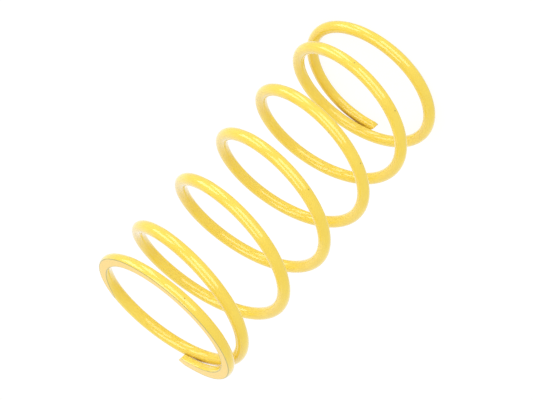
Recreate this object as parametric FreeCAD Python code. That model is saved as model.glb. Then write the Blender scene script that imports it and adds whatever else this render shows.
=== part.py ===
import FreeCAD, Part
import math
import os

# Torque spring of a scooter clutch: a wide left-hand compression coil of round spring wire.
# Both ends are closed against the next turn, ground flat as seats, and sheared off at a slant.
# The coil stands on its lower seat at height 0, with its axis on Z and its free length upwards.
# Lengths are in millimetres and angles in degrees. Places along the wire are counted in turns
# of the coil, from the middle of the lower tip.

Vector = FreeCAD.Vector

# Coil
wire_diameter = 4.15
coil_outer_diameter = 54.15
free_length = 114.5
total_turns = 6.96
lower_tip_angle = 113.8

# Closed ends, the same at both ends: first a closed stretch, then a ramp up to the full pitch
closed_pitch = 1.0
closed_turns = 0.32
ramp_turns = 1.2

# Ground seats: how far the wheel has gone into the wire at its tip, and how far the upper seat
# is ground out of square to the coil's axis, with the side that it falls towards
ground_depth = 1.305
upper_seat_lean = 1.4
upper_seat_low_side = 38.0

# Sheared tips: the cut seen from the end of the coil, its lean seen from outside, and how far
# and over what stretch the shear has bent the tip in towards the axis
shear_slant = 52.0
shear_lean = 8.0
shear_tuck = 0.25
shear_stretch_turns = 0.12

# How finely the coil is drawn, and the room left around the blocks that grind the seats
stations_per_turn = 12
stretch_stations = 8
grinding_room = 5.0

# Sizes worked out from the values above
wire_radius = wire_diameter / 2
coil_mean_radius = (coil_outer_diameter - wire_diameter) / 2
tip_height = wire_radius - ground_depth
wire_rise = free_length - 2 * tip_height
full_pitch_turns = total_turns - 2 * closed_turns - ramp_turns
active_pitch = closed_pitch + (wire_rise - closed_pitch * total_turns) / full_pitch_turns


def pitch_gained(turns_into_ramp):
    """Turns at full pitch that equal the ramp so far, where the pitch grows as a smooth step."""
    share = turns_into_ramp / ramp_turns
    inside = min(max(share, 0.0), 1.0)
    return ramp_turns * (inside ** 3 - inside ** 4 / 2 + max(share - 1.0, 0.0))


def wire_height(turns):
    """Height of the wire's middle above the lower seat."""
    opened = pitch_gained(turns - closed_turns)
    closed_again = pitch_gained(turns - (total_turns - closed_turns - ramp_turns))
    steep_turns = opened - closed_again
    return tip_height + closed_pitch * turns + (active_pitch - closed_pitch) * steep_turns


def outward(turns):
    """Unit vector from the axis to the wire; its angle falls as the left-hand coil rises."""
    angle = math.radians(lower_tip_angle - 360.0 * turns)
    return Vector(math.cos(angle), math.sin(angle), 0)


def tip_share(turns_from_tip):
    """How far a place is under the shear's effect: 1 at the tip, falling smoothly to 0."""
    inside = min(turns_from_tip / shear_stretch_turns, 1.0)
    return 1.0 - inside * inside * (3.0 - 2.0 * inside)


def wire_middle(turns):
    """Point on the middle line of the wire."""
    tuck = shear_tuck * (tip_share(turns) + tip_share(total_turns - turns))
    return outward(turns) * (coil_mean_radius - tuck) + Vector(0, 0, wire_height(turns))


def wire_direction(turns):
    """Unit vector along the wire, towards its upper tip."""
    step = 0.0005
    before = max(turns - step, 0.0)
    after = min(turns + step, total_turns)
    return (wire_middle(after) - wire_middle(before)).normalize()


def section_axes(turns):
    """Outward and upward radii of the wire's section, leaning along the wire near a sheared tip."""
    along = wire_direction(turns)
    up = along.cross(outward(turns)).normalize()
    across = up.cross(along)
    lower_share = tip_share(turns)
    upper_share = tip_share(total_turns - turns)
    slant = math.tan(math.radians(shear_slant)) * (lower_share - upper_share)
    lean = math.tan(math.radians(shear_lean)) * (lower_share + upper_share)
    return (across + along * slant) * wire_radius, (up + along * lean) * wire_radius


def stations():
    """Places of the sections that the wire is drawn through, closer together at the tips."""
    close_step = shear_stretch_turns / stretch_stations
    lower = [close_step * i for i in range(stretch_stations)]
    upper = [total_turns - place for place in reversed(lower)]
    plain_turns = total_turns - 2 * shear_stretch_turns
    spans = math.ceil(plain_turns * stations_per_turn)
    plain = [shear_stretch_turns + plain_turns * i / spans for i in range(spans + 1)]
    return lower + plain + upper


def wire_skin():
    """The wire's round skin: a circle's control points carried along the coil by smooth curves."""
    circle = Part.Circle(Vector(0, 0, 0), Vector(0, 0, 1), 1.0).toNurbs()
    places = stations()
    rails = []
    for pole in circle.getPoles():
        points = []
        for place in places:
            across, up = section_axes(place)
            points.append(wire_middle(place) + across * pole.x + up * pole.y)
        rail = Part.BSplineCurve()
        rail.interpolate(Points=points, Parameters=places)
        rails.append(rail)
    skin = Part.BSplineSurface()
    skin.buildFromPolesMultsKnots(
        [rail.getPoles() for rail in rails],
        circle.getMultiplicities(),
        rails[0].getMultiplicities(),
        circle.getKnots(),
        rails[0].getKnots(),
        False,
        False,
        circle.Degree,
        rails[0].Degree,
        [[weight] * rails[0].NbPoles for weight in circle.getWeights()],
    )
    return skin


def coiled_wire():
    """The whole length of wire, coiled and sheared, as a solid that isn't ground yet."""
    skin = wire_skin()
    tip_faces = [Part.Face(Part.Wire([skin.vIso(place).toShape()])) for place in (0.0, total_turns)]
    shell = Part.makeShell([skin.toShape()] + tip_faces)
    shell.sewShape()
    return Part.makeSolid(shell)


def grinding_block(base_height):
    """Block of what the grinding wheel clears away beyond one end of the coil."""
    width = coil_outer_diameter + 2 * grinding_room
    height = wire_diameter + grinding_room
    return Part.makeBox(width, width, height, Vector(-width / 2, -width / 2, base_height))


def coil_spring():
    """The finished spring: coiled wire with its ends ground, the lower one square to the axis."""
    below = grinding_block(-wire_diameter - grinding_room)
    above = grinding_block(free_length)
    low_side = math.radians(upper_seat_low_side)
    hinge = Vector(-math.sin(low_side), math.cos(low_side), 0)
    above.rotate(Vector(0, 0, free_length), hinge, upper_seat_lean)
    return coiled_wire().cut(below).cut(above)


os.makedirs("parts", exist_ok=True)
coil_spring().exportStep("parts/coil_spring.step")
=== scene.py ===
"""Torque spring of a scooter clutch: one coil of yellow powder-coated wire.

The coil is wound left-hand. Both ends are closed against the next turn, ground flat as seats
and sheared off at a slant. It stands on its lower seat at height 0, with its axis on Z.
Lengths are in metres and angles in degrees unless a name says otherwise. Places along the wire
are in turns of the coil, counted from the middle of the lower tip.
"""

import logging
import math
from dataclasses import dataclass
from enum import Enum
from typing import Optional, Union

import bpy
from mathutils import Euler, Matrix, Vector


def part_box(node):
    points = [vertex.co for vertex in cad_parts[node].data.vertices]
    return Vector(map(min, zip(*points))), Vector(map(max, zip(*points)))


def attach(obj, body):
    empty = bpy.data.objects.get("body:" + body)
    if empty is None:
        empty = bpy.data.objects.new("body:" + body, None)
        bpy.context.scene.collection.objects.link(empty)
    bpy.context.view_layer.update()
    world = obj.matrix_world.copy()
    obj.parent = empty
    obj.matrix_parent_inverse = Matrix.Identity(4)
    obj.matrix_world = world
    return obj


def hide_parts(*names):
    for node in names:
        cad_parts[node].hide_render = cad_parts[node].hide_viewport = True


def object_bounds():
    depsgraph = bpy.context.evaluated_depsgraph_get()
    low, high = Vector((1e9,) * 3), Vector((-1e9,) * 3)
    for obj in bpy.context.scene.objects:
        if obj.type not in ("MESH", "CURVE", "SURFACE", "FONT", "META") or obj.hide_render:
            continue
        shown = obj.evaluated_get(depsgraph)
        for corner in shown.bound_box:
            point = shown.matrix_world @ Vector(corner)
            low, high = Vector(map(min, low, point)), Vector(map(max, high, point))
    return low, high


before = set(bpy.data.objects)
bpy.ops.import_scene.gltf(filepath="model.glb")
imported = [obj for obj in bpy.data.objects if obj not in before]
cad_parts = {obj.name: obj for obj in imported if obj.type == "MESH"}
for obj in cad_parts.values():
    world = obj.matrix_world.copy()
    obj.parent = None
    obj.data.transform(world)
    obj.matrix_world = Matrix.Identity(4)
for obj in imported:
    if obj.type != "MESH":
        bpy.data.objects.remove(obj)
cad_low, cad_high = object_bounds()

MM = 0.001
FULL_TURN = 2.0 * math.pi
QUARTER_TURN = math.pi / 2
WHITE = (1.0, 1.0, 1.0, 1.0)
logger = logging.getLogger("torque_spring")

Triple = tuple[float, float, float]
Colour = tuple[float, float, float, float]
Paint = Union[Colour, bpy.types.NodeSocket]
Number = Union["Field", float]


class Kind(Enum):
    """Kinds of input that the coil's node tree takes, by socket type."""

    NUMBER = "NodeSocketFloat"
    COUNT = "NodeSocketInt"
    FINISH = "NodeSocketMaterial"


class Field:
    """A number worked out by math nodes, written as plain arithmetic."""

    def __init__(self, tree: bpy.types.NodeTree, socket: bpy.types.NodeSocket) -> None:
        """Keeps the tree that the nodes go in and the socket that gives the number.

        Args:
            tree: The node tree.
            socket: The output socket that holds the number.
        """
        self.tree = tree
        self.socket = socket

    def apply(self, operation: str, *others: Number) -> "Field":
        """Adds one math node.

        Args:
            operation: The node's operation.
            others: The numbers after this one.

        Returns:
            The node's result.
        """
        node = self.tree.nodes.new("ShaderNodeMath")
        node.operation = operation
        for place, value in zip(node.inputs, (self, *others)):
            if isinstance(value, Field):
                self.tree.links.new(value.socket, place)
            else:
                place.default_value = value
        return Field(self.tree, node.outputs[0])

    def __add__(self, other: Number) -> "Field":
        """Sum."""
        return self.apply("ADD", other)

    def __radd__(self, other: Number) -> "Field":
        """Sum, with the plain number first."""
        return self.apply("ADD", other)

    def __mul__(self, other: Number) -> "Field":
        """Product."""
        return self.apply("MULTIPLY", other)

    def __rmul__(self, other: Number) -> "Field":
        """Product, with the plain number first."""
        return self.apply("MULTIPLY", other)

    def __sub__(self, other: Number) -> "Field":
        """Difference."""
        return self.apply("SUBTRACT", other)

    def __rsub__(self, other: float) -> "Field":
        """Difference, with the plain number first."""
        return (self * -1.0) + other

    def __neg__(self) -> "Field":
        """The same number with its sign changed."""
        return self * -1.0

    def __truediv__(self, other: Number) -> "Field":
        """Quotient."""
        return self.apply("DIVIDE", other)

    def at_least(self, low: Number) -> "Field":
        """This number, or the low limit if that is more."""
        return self.apply("MAXIMUM", low)

    def at_most(self, high: Number) -> "Field":
        """This number, or the high limit if that is less."""
        return self.apply("MINIMUM", high)

    def within(self, low: Number, high: Number) -> "Field":
        """This number kept between two limits."""
        return self.at_least(low).at_most(high)

    def above(self, limit: Number) -> "Field":
        """1 where this number is more than the limit, otherwise 0."""
        return self.apply("GREATER_THAN", limit)

    def below(self, limit: Number) -> "Field":
        """1 where this number is less than the limit, otherwise 0."""
        return self.apply("LESS_THAN", limit)

    def size(self) -> "Field":
        """This number without its sign."""
        return self.apply("ABSOLUTE")

    def sine(self) -> "Field":
        """Sine of this angle in radians."""
        return self.apply("SINE")

    def cosine(self) -> "Field":
        """Cosine of this angle in radians."""
        return self.apply("COSINE")

    def power(self, exponent: float) -> "Field":
        """This number raised to a power."""
        return self.apply("POWER", exponent)

    def smooth(self) -> "Field":
        """A smooth step: 0 up to 0, 1 from 1 on, with a level start and end."""
        inside = self.within(0.0, 1.0)
        return inside * inside * (3.0 - inside * 2.0)

    def pick(self, if_zero: Number, if_one: Number) -> "Field":
        """The first number where this one is 0, the second where it is 1, a blend between."""
        first = if_zero if isinstance(if_zero, Field) else self * 0.0 + if_zero
        return first + (if_one - first) * self


@dataclass
class MiddleLine:
    """The wire's middle line at one row of the grid.

    Attributes:
        turns: The place along the wire.
        reach: Distance from the coil's axis.
        height: Height above the lower seat.
        along_out: The wire's unit direction, outward from the axis.
        along_round: The wire's unit direction, round the axis.
        along_up: The wire's unit direction, upward.
        on_drum: How much of that direction runs along the drum that the coil is wound on.
        cosine: Cosine of the angle round the axis.
        sine: Sine of the angle round the axis.
        lower: How far the lower shear has moved the wire, from 0 to 1.
        upper: How far the upper shear has moved it.
    """

    turns: Field
    reach: Field
    height: Field
    along_out: Field
    along_round: Field
    along_up: Field
    on_drum: Field
    cosine: Field
    sine: Field
    lower: Field
    upper: Field


@dataclass
class RingPlace:
    """A column's place round the wire's section.

    Attributes:
        from_seat: Columns from the middle of the nearer seat.
        side: 1 on the outer side of the coil and -1 on the inner side.
        is_upper: 1 on the upper half of the section and 0 on the lower half.
        up_sign: 1 on the upper half and -1 on the lower half.
    """

    from_seat: Field
    side: Field
    is_upper: Field
    up_sign: Field


@dataclass
class Section:
    """One point of the wire's section, measured in wire radii towards the nearer seat.

    Attributes:
        outward: How far it is to the side of the wire's middle.
        upward: How far it is towards the seat.
        flat: 1 on the ground seat, otherwise 0.
        edge_gap: Distance from the seat's edge, in metres.
        near_seat: 1 on the ground seat, falling to 0 at the side of the wire.
    """

    outward: Field
    upward: Field
    flat: Field
    edge_gap: Field
    near_seat: Field


class CoilTree:
    """Geometry Nodes tree that rolls a flat grid into the wire and winds it into the coil.

    Each row of the grid is one section of the wire, and each column runs along it. Columns
    follow the sharp edges of both ground seats, so that the flats stay flat and crisp. Half a
    row or column is added where places are compared, so that rounding can't tip the result.
    """

    INPUTS = {
        Kind.NUMBER: (
            "Wire Radius",
            "Mean Radius",
            "Free Length",
            "Turns",
            "Tip Angle",
            "Closed Pitch",
            "Closed Turns",
            "Ramp Turns",
            "Ground Depth",
            "Lower Slant",
            "Lower Bevel",
            "Lower Point",
            "Lower Reach",
            "Upper Slant",
            "Upper Bevel",
            "Upper Point",
            "Upper Reach",
            "Shear Blunting",
            "Shear Lean",
            "Shear Lift",
            "Shear Tuck",
            "Shear Stretch",
            "Edge Rounding",
            "Seat Slope",
            "Low Side",
        ),
        Kind.COUNT: ("End Rows", "Middle Rows", "Quarter Columns"),
        Kind.FINISH: ("Finish",),
    }

    # Rows that close a tip: those of the cut's face, and those with its rounded rim as well
    CAP_ROWS = 6.0
    CLOSING_ROWS = 9.0
    # Share of its full size from which a row is the wire's skin, and not the cut's face
    FULL_SECTION = 0.9999

    # Columns from the middle of a seat to its edge, and those of the edge's rounding
    CHORD_COLUMNS = 6.0
    ROUNDED_COLUMNS = 3.0
    # How strongly a seat's columns crowd towards its edge
    CHORD_CROWDING = 4.0
    # Most of a seat's half width that the rounding of its edge may take
    ROUNDING_LIMIT = 0.35
    # Half angle that a seat's columns span where the seat fades out, how much wider they fan out
    # beyond it, and how fast for each wire radius of room
    LEAST_FAN = math.radians(2.0)
    ADDED_FAN = math.radians(20.0)
    FAN_RATE = 2.0

    # How the dark edge line at the shear's cut compares with that at a seat's edge: how fast it
    # fades, and how far from the edge it starts, in edge roundings
    CUT_FADING = 2.0
    CUT_START = 0.7

    # The painted shade in the crevice beside a tip: how long it is in turns, where it starts and
    # how fast it sets in per turn, the share of its length after which it fades, and how squarely
    # the paint has to face the next turn
    LOWER_CREVICE_TURNS = 0.11
    UPPER_CREVICE_TURNS = 0.05
    CREVICE_START = 0.012
    CREVICE_ONSET = 70.0
    CREVICE_FADING = 0.4
    FACING_START = 0.9
    FACING_ONSET = 12.0

    # Points closer than this become one, which closes the seam along the wire and both tips
    MERGE_DISTANCE = 0.001 * MM

    def __init__(self) -> None:
        """Starts the tree with its named inputs."""
        self.tree = bpy.data.node_groups.new("coil_winding", "GeometryNodeTree")
        self.tree.is_modifier = True
        interface = self.tree.interface
        for kind, names in self.INPUTS.items():
            for name in names:
                interface.new_socket(name, in_out="INPUT", socket_type=kind.value)
        interface.new_socket("Geometry", in_out="OUTPUT", socket_type="NodeSocketGeometry")
        self.entry = self.tree.nodes.new("NodeGroupInput")
        self.sizes = {
            name: Field(self.tree, self.entry.outputs[name])
            for name in self.INPUTS[Kind.NUMBER] + self.INPUTS[Kind.COUNT]
        }

    def node(self, kind: str, **links: bpy.types.NodeSocket) -> bpy.types.Node:
        """Adds a node.

        Args:
            kind: The node's type.
            links: Sockets to link, by the input's name with _ for a space.

        Returns:
            The new node.
        """
        node = self.tree.nodes.new(kind)
        for name, socket in links.items():
            self.tree.links.new(socket, node.inputs[name.replace("_", " ")])
        return node

    def row_and_column(self) -> tuple[Field, Field, Field, Field]:
        """Finds each grid point's row and column.

        Returns:
            The row, the column, the number of rows and the number of columns.
        """
        size = self.sizes
        rows = size["End Rows"] * 2.0 + size["Middle Rows"] + 1.0 + 2.0 * self.CLOSING_ROWS
        columns = size["Quarter Columns"] * 4.0 + 1.0
        index = Field(self.tree, self.node("GeometryNodeInputIndex").outputs[0])
        row = ((index + 0.5) / columns).apply("FLOOR")
        return row, index - row * columns, rows, columns

    def tip_rounding(self, row: Field, rows: Field) -> tuple[Field, Field]:
        """Shapes the rows that close a tip: a flat cut with a slightly rounded rim.

        Args:
            row: The grid point's row.
            rows: The number of rows.

        Returns:
            How large the section is, as a share, and how far along the wire it is from the cut.
        """
        rounding = self.sizes["Edge Rounding"]
        from_tip = row.at_most(rows - 1.0 - row).at_most(self.CLOSING_ROWS)
        bend = (from_tip - self.CAP_ROWS) / (self.CLOSING_ROWS - self.CAP_ROWS)
        swing = bend.within(0.0, 1.0) * QUARTER_TURN
        inset = rounding * (1.0 - swing.sine()) / self.sizes["Wire Radius"]
        share = (1.0 - inset) * (from_tip / self.CAP_ROWS).within(0.0, 1.0)
        return share, rounding * (1.0 - swing.cosine())

    def turns_along(self, row: Field, tip_gap: Field) -> Field:
        """Places a row along the wire, closer together in the first and last turn.

        Args:
            row: The grid point's row.
            tip_gap: How far the row is from the cut, in the rows that close a tip.

        Returns:
            The place along the wire.
        """
        size = self.sizes
        end_rows = size["End Rows"]
        middle_rows = size["Middle Rows"]
        total = size["Turns"]
        step = row - self.CLOSING_ROWS
        start = step.within(0.0, end_rows) / end_rows
        middle = (step - end_rows).within(0.0, middle_rows) / middle_rows * (total - 2.0)
        finish = (step - end_rows - middle_rows).within(0.0, end_rows) / end_rows
        gap = tip_gap / (size["Mean Radius"] * FULL_TURN)
        return (start + middle + finish).within(gap, total - gap)

    def pitch_gained(self, into_ramp: Field) -> Field:
        """Adds up the climb over a ramp, where the pitch grows as a smooth step.

        Args:
            into_ramp: Turns from the start of the ramp.

        Returns:
            The turns at full pitch that climb as high.
        """
        share = into_ramp / self.sizes["Ramp Turns"]
        inside = share.within(0.0, 1.0)
        grown = inside * inside * inside * (1.0 - inside * 0.5) + (share - 1.0).at_least(0.0)
        return grown * self.sizes["Ramp Turns"]

    def pitch_share(self, into_ramp: Field) -> Field:
        """How far the pitch has grown: 0 in the closed stretch and 1 after the ramp."""
        return (into_ramp / self.sizes["Ramp Turns"]).smooth()

    def climb(self, turns: Field) -> tuple[Field, Field]:
        """Finds how high the wire has climbed, and how steeply it climbs there.

        Args:
            turns: The place along the wire.

        Returns:
            The height of the wire's middle above the lower seat, and its rise in a turn.
        """
        size = self.sizes
        closed_pitch = size["Closed Pitch"]
        tip_height = size["Wire Radius"] - size["Ground Depth"]
        wire_rise = size["Free Length"] - tip_height * 2.0
        full_turns = size["Turns"] - size["Closed Turns"] * 2.0 - size["Ramp Turns"]
        steeper = (wire_rise - closed_pitch * size["Turns"]) / full_turns
        opening = turns - size["Closed Turns"]
        closing = turns - (size["Turns"] - size["Closed Turns"] - size["Ramp Turns"])
        gained = self.pitch_gained(opening) - self.pitch_gained(closing)
        height = tip_height + closed_pitch * turns + steeper * gained
        pitch = closed_pitch + steeper * (self.pitch_share(opening) - self.pitch_share(closing))
        return height, pitch

    def middle_line(self, turns: Field) -> MiddleLine:
        """Follows the wire's middle line, which each shear has bent in a little at its tip.

        Args:
            turns: The place along the wire.

        Returns:
            The middle line there.
        """
        size = self.sizes
        tuck = size["Shear Tuck"]
        stretch = size["Shear Stretch"]
        height, pitch = self.climb(turns)
        lower_step = (turns / stretch).within(0.0, 1.0)
        upper_step = ((size["Turns"] - turns) / stretch).within(0.0, 1.0)
        lower = 1.0 - lower_step.smooth()
        upper = 1.0 - upper_step.smooth()
        reach = size["Mean Radius"] - tuck * (lower + upper)
        slope = lower_step * (1.0 - lower_step) - upper_step * (1.0 - upper_step)
        outward_speed = tuck * 6.0 * slope / stretch
        round_speed = reach * FULL_TURN
        squares = round_speed * round_speed + pitch * pitch + outward_speed * outward_speed
        speed = squares.power(0.5)
        along_round = round_speed / speed
        along_up = pitch / speed
        angle = size["Tip Angle"] - turns * FULL_TURN
        return MiddleLine(
            turns=turns,
            reach=reach,
            height=height,
            along_out=outward_speed / speed,
            along_round=along_round,
            along_up=along_up,
            on_drum=(along_round * along_round + along_up * along_up).power(0.5),
            cosine=angle.cosine(),
            sine=angle.sine(),
            lower=lower,
            upper=upper,
        )

    def ring_place(self, column: Field) -> RingPlace:
        """Places a column round the section, from its bottom and up the outer side first.

        Args:
            column: The grid point's column.

        Returns:
            Its place.
        """
        quarter_columns = self.sizes["Quarter Columns"]
        half_columns = quarter_columns * 2.0
        from_bottom = half_columns - (column - half_columns).size()
        is_upper = from_bottom.above(quarter_columns + 0.5)
        return RingPlace(
            from_seat=from_bottom.at_most(half_columns - from_bottom),
            side=(half_columns - column + 0.25).apply("SIGN"),
            is_upper=is_upper,
            up_sign=is_upper * 2.0 - 1.0,
        )

    def seat_fall(self) -> tuple[Field, Field]:
        """Works out how the upper seat leans.

        Returns:
            How far it falls for each metre to +X, and for each metre to +Y.
        """
        slope = self.sizes["Seat Slope"]
        low_side = self.sizes["Low Side"]
        return slope * low_side.cosine(), slope * low_side.sine()

    def fall_outward(self, line: MiddleLine) -> Field:
        """How far the upper seat falls for each metre out from the axis, at the line's side."""
        fall_east, fall_north = self.seat_fall()
        return line.cosine * fall_east + line.sine * fall_north

    def seat(self, shape: Section, share: Field) -> Field:
        """1 on a ground seat, and 0 on the rest of the skin and on the cuts' faces."""
        return shape.flat * share.above(self.FULL_SECTION)

    def section(self, column: Field, room: Field) -> Section:
        """Shapes the wire's section: a circle, with a chord where the seat is ground.

        Args:
            column: Columns from the middle of the nearer seat.
            room: Height of the wire's middle over that seat, in wire radii.

        Returns:
            The section's point.
        """
        size = self.sizes
        fan = ((room - 1.0) * self.FAN_RATE).smooth() * self.ADDED_FAN + self.LEAST_FAN
        half = room.within(-1.0, 1.0).apply("ARCCOSINE").at_least(fan)
        corner_sine = half.sine()
        corner_cosine = half.cosine()
        rounding = size["Edge Rounding"] / size["Wire Radius"]
        rounding = rounding.at_most(corner_sine * self.ROUNDING_LIMIT)
        first_round = self.CHORD_COLUMNS + self.ROUNDED_COLUMNS
        short = 1.0 - (column / self.CHORD_COLUMNS).within(0.0, 1.0)
        chord = 1.0 - short.power(self.CHORD_CROWDING)
        bend = ((column - self.CHORD_COLUMNS) / self.ROUNDED_COLUMNS).within(0.0, 1.0)
        arc = ((column - first_round) / (size["Quarter Columns"] - first_round)).within(0.0, 1.0)
        angle = chord * (half - rounding) + bend * rounding * 2.0
        angle = angle + arc * (QUARTER_TURN - half - rounding)
        straight = 1.0 - bend
        end_angle = half + rounding
        cut_outward = straight * straight * chord * (corner_sine - rounding)
        cut_outward = cut_outward + straight * bend * 2.0 * corner_sine
        cut_outward = cut_outward + bend * bend * end_angle.sine()
        cut_upward = corner_cosine + bend * bend * (end_angle.cosine() - corner_cosine)
        ground = room.below(1.0)
        on_chord = column.below(self.CHORD_COLUMNS + 0.5)
        cut = ground * column.below(first_round + 0.5)
        outward = cut.pick(angle.sine(), cut_outward)
        gap = on_chord.pick(angle - half, corner_sine - outward).at_least(0.0)
        return Section(
            outward=outward,
            upward=cut.pick(angle.cosine(), cut_upward),
            flat=ground * on_chord,
            edge_gap=ground.pick(size["Wire Radius"], gap * size["Wire Radius"]),
            near_seat=ground * (1.0 - arc) * (1.0 - arc),
        )

    def sheared(self, turns: Field, across: Field) -> Field:
        """Shapes a tip as the shear left it: a blunt point between two slanting sides.

        Args:
            turns: The place along the wire.
            across: How far the section's point is out from the wire's middle.

        Returns:
            How far the cut lies beyond the end of the wire's middle line.
        """
        is_upper_end = turns.above(self.sizes["Turns"] * 0.5)
        slant, bevel, point, reach = (
            is_upper_end.pick(self.sizes[f"Lower {name}"], self.sizes[f"Upper {name}"])
            for name in ("Slant", "Bevel", "Point", "Reach")
        )
        beside = across - point
        blunting = self.sizes["Shear Blunting"]
        rounded = (beside * beside + blunting * blunting).power(0.5)
        return reach - beside * (slant - bevel) * 0.5 - rounded * (slant + bevel) * 0.5

    def crevice(self, turns: Field, upward: Field) -> Field:
        """Finds where a tip lies so close to the next turn that the crevice between them is in
        shade.

        Args:
            turns: The place along the wire.
            upward: How far the section's point faces up, from -1 to 1.

        Returns:
            1 deep in the crevice beside each tip, where the paint gets painted shade, and 0 away
            from both.
        """
        facing_up = ((upward - self.FACING_START) * self.FACING_ONSET).smooth()
        facing_down = ((-upward - self.FACING_START) * self.FACING_ONSET).smooth()
        from_upper = self.sizes["Turns"] - turns
        found = turns * 0.0
        for from_tip, tip_side, next_side, long in (
            (turns, facing_up, facing_down, self.LOWER_CREVICE_TURNS),
            (from_upper, facing_down, facing_up, self.UPPER_CREVICE_TURNS),
        ):
            sides = ((from_tip - self.CREVICE_START, tip_side), (from_tip - 1.0, next_side))
            for place, side in sides:
                opened = (place * self.CREVICE_ONSET).smooth()
                past = place / long - self.CREVICE_FADING
                shallow = (past / (1.0 - self.CREVICE_FADING)).smooth()
                found = found.at_least(opened * (1.0 - shallow) * side)
        return found

    def skin(
        self, line: MiddleLine, ring: RingPlace, shape: Section, share: Field
    ) -> tuple[Field, Field, Field]:
        """Places a grid point on the wire's skin, and levels it where the seat is ground.

        Args:
            line: The wire's middle line at the point's row.
            ring: The point's place round the section.
            shape: The section's point.
            share: How large the section is there.

        Returns:
            The point's place to +X, to +Y and upward.
        """
        size = self.sizes
        radius = size["Wire Radius"]
        on_drum = line.on_drum
        across = shape.outward * ring.side * share * radius
        upward = shape.upward * ring.up_sign * share * radius
        lean = size["Shear Lean"] * (line.lower + line.upper)
        forward = self.sheared(line.turns, across) * (line.upper - line.lower) + upward * lean
        twist = across * line.along_out / on_drum
        out = line.reach + across * on_drum + forward * line.along_out
        around = forward * line.along_round - twist * line.along_round
        around = around - upward * line.along_up / on_drum
        up = line.height + forward * line.along_up - twist * line.along_up
        up = up + upward * line.along_round / on_drum + forward * size["Shear Lift"]
        east = out * line.cosine + around * line.sine
        north = out * line.sine - around * line.cosine

        fall_east, fall_north = self.seat_fall()
        seat_height = size["Free Length"] - east * fall_east - north * fall_north
        up = up - across * self.fall_outward(line) * ring.is_upper * shape.near_seat
        up = self.seat(shape, share).pick(up, ring.is_upper * seat_height)
        return east, north, up.within(0.0, seat_height)

    def marks(
        self, line: MiddleLine, ring: RingPlace, shape: Section, share: Field
    ) -> dict[str, Field]:
        """Works out the marks that the paint follows.

        Args:
            line: The wire's middle line at the point's row.
            ring: The point's place round the section.
            shape: The section's point.
            share: How large the section is there.

        Returns:
            Each mark's name and value: the ground seats, how far the sharp edges are in
            metres, and the crevices beside the tips, which the paint darkens as painted shade.
        """
        size = self.sizes
        from_cut = line.turns.at_most(size["Turns"] - line.turns) * line.reach * FULL_TURN
        from_rim = (1.0 - share) * size["Wire Radius"]
        cut_gap = from_cut.at_least(from_rim) * self.CUT_FADING
        cut_gap = cut_gap + size["Edge Rounding"] * self.CUT_START
        return {
            "seat": self.seat(shape, share),
            "edge_gap": shape.edge_gap.at_most(cut_gap),
            "crevice": self.crevice(line.turns, shape.upward * ring.up_sign),
        }

    def wind(
        self,
        rows: Field,
        columns: Field,
        marks: dict[str, Field],
        skin: tuple[Field, Field, Field],
    ) -> None:
        """Makes the grid, moves its points to their places and gives it the finish.

        Args:
            rows: The number of rows.
            columns: The number of columns.
            marks: The marks to store, by name.
            skin: Each point's place to +X, to +Y and upward.
        """
        east, north, up = skin
        grid = self.node(
            "GeometryNodeMeshGrid", Vertices_X=rows.socket, Vertices_Y=columns.socket
        )
        geometry = grid.outputs["Mesh"]
        for name, value in marks.items():
            store = self.node(
                "GeometryNodeStoreNamedAttribute", Geometry=geometry, Value=value.socket
            )
            store.data_type = "FLOAT"
            store.domain = "POINT"
            store.inputs["Name"].default_value = name
            geometry = store.outputs[0]
        place = self.node("ShaderNodeCombineXYZ", X=east.socket, Y=north.socket, Z=up.socket)
        wound = self.node(
            "GeometryNodeSetPosition", Geometry=geometry, Position=place.outputs[0]
        )
        merged = self.node("GeometryNodeMergeByDistance", Geometry=wound.outputs[0])
        merged.inputs["Distance"].default_value = self.MERGE_DISTANCE
        smooth = self.node("GeometryNodeSetShadeSmooth", Geometry=merged.outputs[0])
        real = self.node("GeometryNodeRealizeInstances", Geometry=smooth.outputs[0])
        dressed = self.node(
            "GeometryNodeSetMaterial",
            Geometry=real.outputs[0],
            Material=self.entry.outputs["Finish"],
        )
        self.node("NodeGroupOutput", Geometry=dressed.outputs[0])

    def build(self) -> bpy.types.NodeTree:
        """Links the whole tree.

        Returns:
            The finished tree.
        """
        size = self.sizes
        row, column, rows, columns = self.row_and_column()
        share, tip_gap = self.tip_rounding(row, rows)
        line = self.middle_line(self.turns_along(row, tip_gap))
        ring = self.ring_place(column)
        under_seat = size["Free Length"] - line.reach * self.fall_outward(line) - line.height
        upright_radius = size["Wire Radius"] * (line.along_round / line.on_drum)
        room = ring.is_upper.pick(line.height, under_seat) / upright_radius
        shape = self.section(ring.from_seat, room)
        marks = self.marks(line, ring, shape, share)
        self.wind(rows, columns, marks, self.skin(line, ring, shape, share))
        return self.tree


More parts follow.
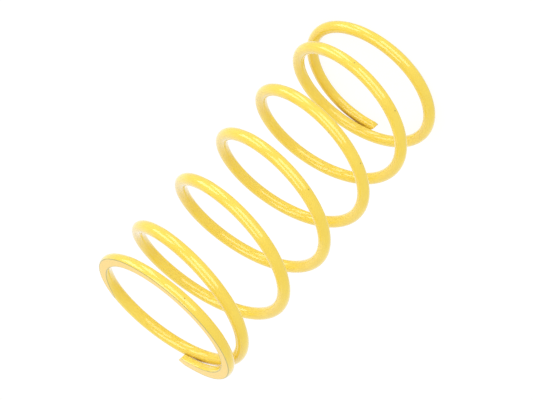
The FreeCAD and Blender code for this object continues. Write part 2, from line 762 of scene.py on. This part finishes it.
class PaintTree:
    """A material's node tree, with the few kinds of node that the paint is made of."""

    def __init__(self, name: str) -> None:
        """Starts the material.

        Args:
            name: The material's name.
        """
        self.material = bpy.data.materials.new(name)
        self.material.use_nodes = True
        self.tree = self.material.node_tree
        self.shader = self.tree.nodes["Principled BSDF"]
        self.place = self.tree.nodes.new("ShaderNodeTexCoord").outputs["Object"]

    def plain(self, **values: float) -> None:
        """Sets what is the same all over on the shader, by its name with _ for a space."""
        for name, value in values.items():
            self.shader.inputs[name.replace("_", " ")].default_value = value

    def feed(self, name: str, socket: bpy.types.NodeSocket) -> None:
        """Links what changes over the surface to one of the shader's inputs."""
        self.tree.links.new(socket, self.shader.inputs[name])

    def noise(
        self, size: float, detail: float, place: Optional[bpy.types.NodeSocket] = None
    ) -> Field:
        """Makes an uneven pattern.

        Args:
            size: The size of its bumps.
            detail: How many finer layers it has.
            place: The coordinates it follows, or None for the piece's own.

        Returns:
            The pattern, from 0 to 1.
        """
        made = self.tree.nodes.new("ShaderNodeTexNoise")
        made.inputs["Scale"].default_value = 1.0 / size
        made.inputs["Detail"].default_value = detail
        self.tree.links.new(self.place if place is None else place, made.inputs["Vector"])
        return Field(self.tree, made.outputs["Fac"])

    def stretched(self, scale: Triple) -> bpy.types.NodeSocket:
        """Stretches a pattern.

        Args:
            scale: How much closer together it is along each axis.

        Returns:
            The coordinates that the pattern follows.
        """
        made = self.tree.nodes.new("ShaderNodeMapping")
        made.inputs["Scale"].default_value = scale
        self.tree.links.new(self.place, made.inputs["Vector"])
        return made.outputs["Vector"]

    def distance(self, spot: Vector) -> Field:
        """Measures how far the surface is from a point.

        Args:
            spot: The point.

        Returns:
            The distance.
        """
        made = self.tree.nodes.new("ShaderNodeVectorMath")
        made.operation = "DISTANCE"
        made.inputs[1].default_value = spot
        self.tree.links.new(self.place, made.inputs[0])
        return Field(self.tree, made.outputs["Value"])

    def mark(self, name: str) -> Field:
        """Reads a mark that the piece's mesh carries.

        Args:
            name: The mark's name.

        Returns:
            The mark.
        """
        made = self.tree.nodes.new("ShaderNodeAttribute")
        made.attribute_name = name
        return Field(self.tree, made.outputs["Fac"])

    def mix(self, share: Field, first: Paint, second: Paint) -> bpy.types.NodeSocket:
        """Mixes two colours.

        Args:
            share: How much of the second colour there is.
            first: The first colour, plain or from a socket.
            second: The second colour.

        Returns:
            The mixed colour.
        """
        made = self.tree.nodes.new("ShaderNodeMix")
        made.data_type = "RGBA"
        self.tree.links.new(share.socket, made.inputs["Factor"])
        for value, socket in ((first, made.inputs[6]), (second, made.inputs[7])):
            if isinstance(value, bpy.types.NodeSocket):
                self.tree.links.new(value, socket)
            else:
                socket.default_value = value
        return made.outputs[2]

    def relief(self, height: Field) -> None:
        """Gives the surface a relief, through the shader's normal.

        Args:
            height: How far it stands proud.
        """
        bump = self.tree.nodes.new("ShaderNodeBump")
        bump.inputs["Distance"].default_value = 1.0
        bump.inputs["Strength"].default_value = 1.0
        self.tree.links.new(height.socket, bump.inputs["Height"])
        self.feed("Normal", bump.outputs["Normal"])


@dataclass
class WearAndShade:
    """What changes over the paint, each from 0 to 1: its marks and wear, and painted shade.

    Attributes:
        cloud: Slow unevenness of its tone and gloss.
        seat: The ground seats.
        dark_edge: A darker grey line along the sharp edges.
        chips: Small chips.
        gap: The crevices beside the tips, darkened as painted shade where a tip closes on the
            next turn.
    """

    cloud: Field
    seat: Field
    dark_edge: Field
    chips: Field
    gap: Field


@dataclass(frozen=True)
class PowderCoat:
    """Glossy yellow powder coat over ground and sheared spring steel.

    The clear gloss is the shader's coat. What a seat, a sharp edge or a chip takes off it is a
    share of 1. The chips are where the photograph has dark specks, in millimetres.
    """

    name: str = "yellow_powder_coat"
    yellow: Colour = (0.87, 0.655, 0.092, 1.0)
    deep_yellow: Colour = (0.85, 0.62, 0.076, 1.0)
    # Same powder coat as the rest; the seats' own tone is painted light and shade, for how the
    # ground flats take the light
    seat_painted_light: Colour = (0.90, 0.605, 0.09, 1.0)
    # Colour of a darker grey line along the sharp edges
    dark_edge_colour: Colour = (0.38, 0.36, 0.13, 1.0)
    # Painted shade: a darker orange-brown for the crevices beside the tips
    crevice_shade: Colour = (0.60, 0.38, 0.045, 1.0)
    nick: Colour = (0.30, 0.24, 0.09, 1.0)

    coat_roughness: float = 0.05
    refraction: float = 1.5
    base_shine: float = 0.1
    roughness: float = 0.12
    cloud_roughness: float = 0.06
    seat_roughness: float = 0.05
    gap_roughness: float = 0.4
    gloss_off_seat: float = 0.45
    gloss_off_edge: float = 0.6
    gloss_off_chip: float = 0.8

    cloud_size: float = 9.0 * MM
    cloud_low: float = 0.35
    cloud_contrast: float = 3.0
    peel_size: float = 1.6 * MM
    peel_depth: float = 0.0002 * MM
    grind_spacing: float = 0.3 * MM
    grind_depth: float = 0.0010 * MM
    grind_stretch: Triple = (0.06, 1.0, 1.0)
    edge_width: float = 0.26 * MM
    dark_edge_strength: float = 0.85
    edge_unevenness: float = 0.5

    nick_size: float = 0.42 * MM
    nick_depth: float = 0.02 * MM
    nick_strength: float = 0.7
    nick_reach: float = 1.3
    nick_crispness: float = 2.5
    ragged_size: float = 0.25 * MM
    nicks: tuple[Triple, ...] = (
        (8.34, -25.75, 14.52),
        (-11.87, -24.32, 17.11),
        (-14.43, -22.90, 39.20),
        (-0.23, -24.95, 39.54),
        (-7.21, -26.06, 59.73),
        (-0.57, -27.06, 113.25),
    )

    def chipped(self, paint: PaintTree) -> Field:
        """Makes the small chips in the paint, with ragged rims.

        Args:
            paint: The material's tree.

        Returns:
            1 in a chip and 0 away from all.
        """
        ragged = paint.noise(self.ragged_size, 2.0)
        found = ragged * 0.0
        for spot in self.nicks:
            depth = self.nick_reach - paint.distance(Vector(spot) * MM) / self.nick_size - ragged
            found = found.at_least((depth * self.nick_crispness).smooth())
        return found

    def wear_and_shade(self, paint: PaintTree) -> WearAndShade:
        """Finds what changes over the paint.

        Args:
            paint: The material's tree.

        Returns:
            The paint's marks and wear, and the painted shade in its crevices.
        """
        cloud = paint.noise(self.cloud_size, 3.0)
        edge = 1.0 - (paint.mark("edge_gap") / self.edge_width).within(0.0, 1.0)
        dark_edge = (edge * (self.dark_edge_strength + cloud * self.edge_unevenness)).within(0.0, 1.0)
        return WearAndShade(
            cloud=cloud,
            seat=paint.mark("seat"),
            dark_edge=dark_edge,
            chips=self.chipped(paint),
            gap=paint.mark("crevice"),
        )

    def colour(self, paint: PaintTree, wear_and_shade: WearAndShade) -> bpy.types.NodeSocket:
        """Colours the paint, with painted light and shade on the seats and painted shade in the
        crevices.

        Args:
            paint: The material's tree.
            wear_and_shade: What changes over the paint, with the painted shade in the crevices.

        Returns:
            The colour.
        """
        tone = ((wear_and_shade.cloud - self.cloud_low) * self.cloud_contrast).within(0.0, 1.0)
        colour = paint.mix(tone, self.yellow, self.deep_yellow)
        # Painted light and shade: the ground seats get a tone of their own
        colour = paint.mix(wear_and_shade.seat, colour, self.seat_painted_light)
        # A darker grey line along the sharp edges
        colour = paint.mix(wear_and_shade.dark_edge, colour, self.dark_edge_colour)
        colour = paint.mix(wear_and_shade.chips * self.nick_strength, colour, self.nick)
        # Painted shade: the crevices beside the tips are darkened towards an orange-brown
        return paint.mix(wear_and_shade.gap, colour, self.crevice_shade)

    def build(self) -> bpy.types.Material:
        """Makes the paint.

        Returns:
            The material.
        """
        paint = PaintTree(self.name)
        paint.plain(
            Coat_Roughness=self.coat_roughness,
            IOR=self.refraction,
            Specular_IOR_Level=self.base_shine,
        )
        wear_and_shade = self.wear_and_shade(paint)
        paint.feed("Base Color", self.colour(paint, wear_and_shade))
        rough = self.roughness + wear_and_shade.cloud * self.cloud_roughness
        rough = rough + wear_and_shade.seat * self.seat_roughness + wear_and_shade.gap * self.gap_roughness
        paint.feed("Roughness", rough.socket)
        gloss = 1.0 - wear_and_shade.dark_edge * self.gloss_off_edge - wear_and_shade.chips * self.gloss_off_chip
        gloss = (gloss - wear_and_shade.seat * self.gloss_off_seat) * (1.0 - wear_and_shade.gap)
        paint.feed("Coat Weight", gloss.at_least(0.0).socket)
        peel = paint.noise(self.peel_size, 1.0) * self.peel_depth
        grinding = paint.noise(self.grind_spacing, 2.0, paint.stretched(self.grind_stretch))
        ground = grinding * wear_and_shade.seat * self.grind_depth
        paint.relief(peel + ground - wear_and_shade.chips * self.nick_depth)
        return paint.material


@dataclass(frozen=True)
class Shear:
    """One sheared tip, seen from the end of the coil: a point between two slanting sides.

    Attributes:
        slant: How far the outer side is cut back from square.
        bevel: How far the inner side is cut back.
        point: How far the point is out from the wire's middle.
        reach: How far it lies beyond the end of the wire's middle line.
    """

    slant: float
    bevel: float
    point: float
    reach: float

    def inputs(self, end: str, blunting: float) -> dict[str, float]:
        """Sizes for the node tree's inputs.

        Args:
            end: Name of the end of the coil.
            blunting: How far the point is rounded.

        Returns:
            Input name to value.
        """
        slant = math.tan(math.radians(self.slant))
        bevel = math.tan(math.radians(self.bevel))
        return {
            f"{end} Slant": slant,
            f"{end} Bevel": bevel,
            f"{end} Point": self.point,
            f"{end} Reach": self.reach + blunting * math.sqrt(slant * bevel),
        }


@dataclass
class CoilSpring:
    """The spring: its sizes, and how its wire is wound and painted.

    The closed, ramp and stretch lengths are in turns of the coil. The shear lift is how far a
    sheared end rises away from the next turn, for each metre beyond the middle line's end.
    """

    node: str = "coil_spring"
    wire_diameter: float = 4.15 * MM
    free_length: float = 114.5 * MM
    turns: float = 6.96
    lower_tip_angle: float = 113.8
    closed_pitch: float = 1.0 * MM
    closed_turns: float = 0.32
    ramp_turns: float = 1.2
    ground_depth: float = 1.305 * MM
    upper_seat_lean: float = 1.4
    upper_seat_low_side: float = 38.0
    lower_shear: Shear = Shear(slant=50.0, bevel=68.0, point=-1.3 * MM, reach=2.55 * MM)
    upper_shear: Shear = Shear(slant=58.0, bevel=42.0, point=0.6 * MM, reach=3.85 * MM)
    shear_blunting: float = 0.3 * MM
    shear_lean: float = 8.0
    shear_lift: float = 0.08
    shear_tuck: float = 0.25 * MM
    shear_stretch: float = 0.12
    edge_rounding: float = 0.16 * MM
    end_rows: int = 230
    middle_rows: int = 500
    quarter_columns: int = 18
    paint: PowderCoat = PowderCoat()

    def inputs(self) -> dict[str, object]:
        """Sizes for the node tree's inputs, with the coil's width taken from the frame.

        Returns:
            Input name to value.
        """
        low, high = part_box(self.node)
        return {
            "Wire Radius": self.wire_diameter / 2,
            "Mean Radius": (high.x - low.x - self.wire_diameter) / 2,
            "Free Length": self.free_length,
            "Turns": self.turns,
            "Tip Angle": math.radians(self.lower_tip_angle),
            "Closed Pitch": self.closed_pitch,
            "Closed Turns": self.closed_turns,
            "Ramp Turns": self.ramp_turns,
            "Ground Depth": self.ground_depth,
            **self.lower_shear.inputs("Lower", self.shear_blunting),
            **self.upper_shear.inputs("Upper", self.shear_blunting),
            "Shear Blunting": self.shear_blunting,
            "Shear Lean": math.tan(math.radians(self.shear_lean)),
            "Shear Lift": self.shear_lift,
            "Shear Tuck": self.shear_tuck,
            "Shear Stretch": self.shear_stretch,
            "Edge Rounding": self.edge_rounding,
            "Seat Slope": math.tan(math.radians(self.upper_seat_lean)),
            "Low Side": math.radians(self.upper_seat_low_side),
            "End Rows": self.end_rows,
            "Middle Rows": self.middle_rows,
            "Quarter Columns": self.quarter_columns,
            "Finish": self.paint.build(),
        }

    def build(self) -> bpy.types.Object:
        """Winds the coil, turns it into a plain mesh and has it stand for its CAD node.

        Returns:
            The finished piece.
        """
        piece = bpy.data.objects.new("painted_coil", bpy.data.meshes.new("painted_coil_seed"))
        bpy.context.scene.collection.objects.link(piece)
        winding = piece.modifiers.new("winding", "NODES")
        winding.node_group = CoilTree().build()
        values = self.inputs()
        for item in winding.node_group.interface.items_tree:
            if item.in_out == "INPUT":
                winding[item.identifier] = values[item.name]
        ready = piece.evaluated_get(bpy.context.evaluated_depsgraph_get())
        mesh = bpy.data.meshes.new_from_object(ready)
        mesh.name = "painted_coil"
        piece.modifiers.remove(winding)
        piece.data = mesh
        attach(piece, "root")
        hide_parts(self.node)
        logger.info("%s: %d points, %d faces", piece.name, len(mesh.vertices), len(mesh.polygons))
        return piece


@dataclass(frozen=True)
class SoftBox:
    """One rectangular soft light that faces the spring's middle.

    It shows either as a clean shape in the paint's gloss, or as plain light on its colour.

    Attributes:
        name: The light's name.
        azimuth: Its side of the spring, counted from -Y towards +X.
        elevation: Its angle above the spring's middle.
        roll: How far it is turned about the line to the spring.
        width: Its width for each metre of distance.
        height: Its height for each metre of distance.
        distance: How far it hangs from the spring's middle.
        brightness: How bright its face is.
        in_gloss: Whether it shows in the gloss.
    """

    name: str
    azimuth: float
    elevation: float
    roll: float
    width: float
    height: float
    distance: float = 0.9
    brightness: float = 3.4
    in_gloss: bool = True

    def build(self, target: Vector) -> None:
        """Hangs the light.

        Args:
            target: The point it faces.
        """
        light = bpy.data.lights.new(self.name, "AREA")
        light.shape = "RECTANGLE"
        light.size = self.width * self.distance
        light.size_y = self.height * self.distance
        light.energy = self.brightness * math.pi * light.size * light.size_y
        turn = math.radians(self.azimuth)
        rise = math.radians(self.elevation)
        back = Vector(
            (math.sin(turn) * math.cos(rise), -math.cos(turn) * math.cos(rise), math.sin(rise))
        )
        facing = back.to_track_quat("Z", "Y").to_matrix()
        twist = Euler((0.0, 0.0, math.radians(self.roll))).to_matrix()
        lamp = bpy.data.objects.new(self.name, light)
        lamp.location = target + back * self.distance
        lamp.rotation_euler = (facing @ twist).to_euler()
        lamp.visible_camera = False
        lamp.visible_diffuse = not self.in_gloss
        lamp.visible_glossy = self.in_gloss
        bpy.context.scene.collection.objects.link(lamp)
        logger.info("%s: %.1f W", self.name, light.energy)


@dataclass(frozen=True)
class FloorFinish:
    """Plain white that glows of itself, so that it is even whatever the lights do."""

    name: str = "white_floor"
    colour: Colour = (0.16, 0.16, 0.16, 1.0)
    roughness: float = 0.9
    glow: float = 0.87

    def build(self) -> bpy.types.Material:
        """Makes the floor's material.

        Returns:
            The material.
        """
        material = bpy.data.materials.new(self.name)
        material.use_nodes = True
        shader = material.node_tree.nodes["Principled BSDF"]
        shader.inputs["Base Color"].default_value = self.colour
        shader.inputs["Roughness"].default_value = self.roughness
        shader.inputs["Specular IOR Level"].default_value = 0.0
        shader.inputs["Emission Color"].default_value = WHITE
        shader.inputs["Emission Strength"].default_value = self.glow
        return material


@dataclass
class Studio:
    """White floor, white surround, soft lights and the camera.

    The surround lights the paint's colour evenly. In its gloss the room shows at room_glare,
    and brighter towards bright_side, from the cosine bright_start on and fully after
    bright_width more.
    """

    floor_size: float = 6.0
    floor_gap: float = 0.1 * MM
    floor_finish: FloorFinish = FloorFinish()
    surround: float = 1.06
    room_glare: float = 0.6
    bright_glare: float = 1.0
    bright_side: Triple = (-0.12, 0.99, 0.05)
    bright_start: float = 0.3
    bright_width: float = 0.5
    lights: tuple[SoftBox, ...] = (
        SoftBox("softbox_front", 2.6, -1.0, -5.4, 0.96, 0.66),
        SoftBox("softbox_above", 32.0, 56.8, 129.7, 0.90, 0.48),
        SoftBox("softbox_low", 58.3, -22.2, 129.3, 0.82, 0.31),
        SoftBox("softbox_side", 82.4, 12.9, 140.7, 0.72, 0.40),
        SoftBox("fill_light", 55.0, 8.0, 0.0, 0.9, 0.9, brightness=1.35, in_gloss=False),
    )
    camera_place: Triple = (0.00042, -0.38968, 0.23095)
    camera_elevation: float = 23.636
    camera_roll: float = -138.745
    camera_lens_mm: float = 87.377
    camera_sensor_mm: float = 36.0
    camera_nearest: float = 0.01

    def build_floor(self) -> None:
        """Lays the floor, which only the camera sees, because two softboxes reach below it."""
        half = self.floor_size / 2
        mesh = bpy.data.meshes.new("floor")
        corners = [(-half, -half), (half, -half), (half, half), (-half, half)]
        mesh.from_pydata([(x, y, -self.floor_gap) for x, y in corners], [], [(0, 1, 2, 3)])
        mesh.materials.append(self.floor_finish.build())
        floor = bpy.data.objects.new("floor", mesh)
        bpy.context.scene.collection.objects.link(floor)
        floor.visible_shadow = False
        floor.visible_glossy = False
        floor.visible_diffuse = False

    def build_surround(self) -> None:
        """Sets the light from all sides: a white backdrop, and a dimmer room in its gloss."""
        world = bpy.data.worlds.new("white_surround")
        world.use_nodes = True
        tree = world.node_tree
        toward = tree.nodes.new("ShaderNodeVectorMath")
        toward.operation = "DOT_PRODUCT"
        tree.links.new(tree.nodes.new("ShaderNodeTexCoord").outputs["Object"], toward.inputs[0])
        toward.inputs[1].default_value = self.bright_side
        past_start = Field(tree, toward.outputs["Value"]) - self.bright_start
        near_bright = (past_start / self.bright_width).smooth()
        glare = near_bright * (self.bright_glare - self.room_glare) + self.room_glare
        is_gloss = Field(tree, tree.nodes.new("ShaderNodeLightPath").outputs["Is Glossy Ray"])
        strength = is_gloss.pick(self.surround, glare)
        background = tree.nodes["Background"]
        background.inputs["Color"].default_value = WHITE
        tree.links.new(strength.socket, background.inputs["Strength"])
        bpy.context.scene.world = world

    def build_camera(self) -> None:
        """Sets up the camera where the photograph's stood."""
        data = bpy.data.cameras.new("camera")
        data.sensor_width = self.camera_sensor_mm
        data.lens = self.camera_lens_mm
        data.clip_start = self.camera_nearest
        camera = bpy.data.objects.new("camera", data)
        tilt = Euler((math.radians(90.0 - self.camera_elevation), 0.0, 0.0)).to_matrix()
        roll = Euler((0.0, 0.0, math.radians(self.camera_roll))).to_matrix()
        camera.rotation_euler = (tilt @ roll).to_euler()
        camera.location = self.camera_place
        bpy.context.scene.collection.objects.link(camera)
        bpy.context.scene.camera = camera

    def build(self, target: Vector) -> None:
        """Sets up the studio.

        Args:
            target: The point the lights shine at.
        """
        bpy.context.scene.view_settings.view_transform = "Standard"
        self.build_floor()
        self.build_surround()
        for light in self.lights:
            light.build(target)
        self.build_camera()


def main() -> None:
    """Builds the spring, then the studio round it."""
    logging.basicConfig(level=logging.INFO, format="%(name)s %(message)s")
    CoilSpring().build()
    Studio().build((cad_low + cad_high) / 2)


if __name__ == "__main__":
    main()
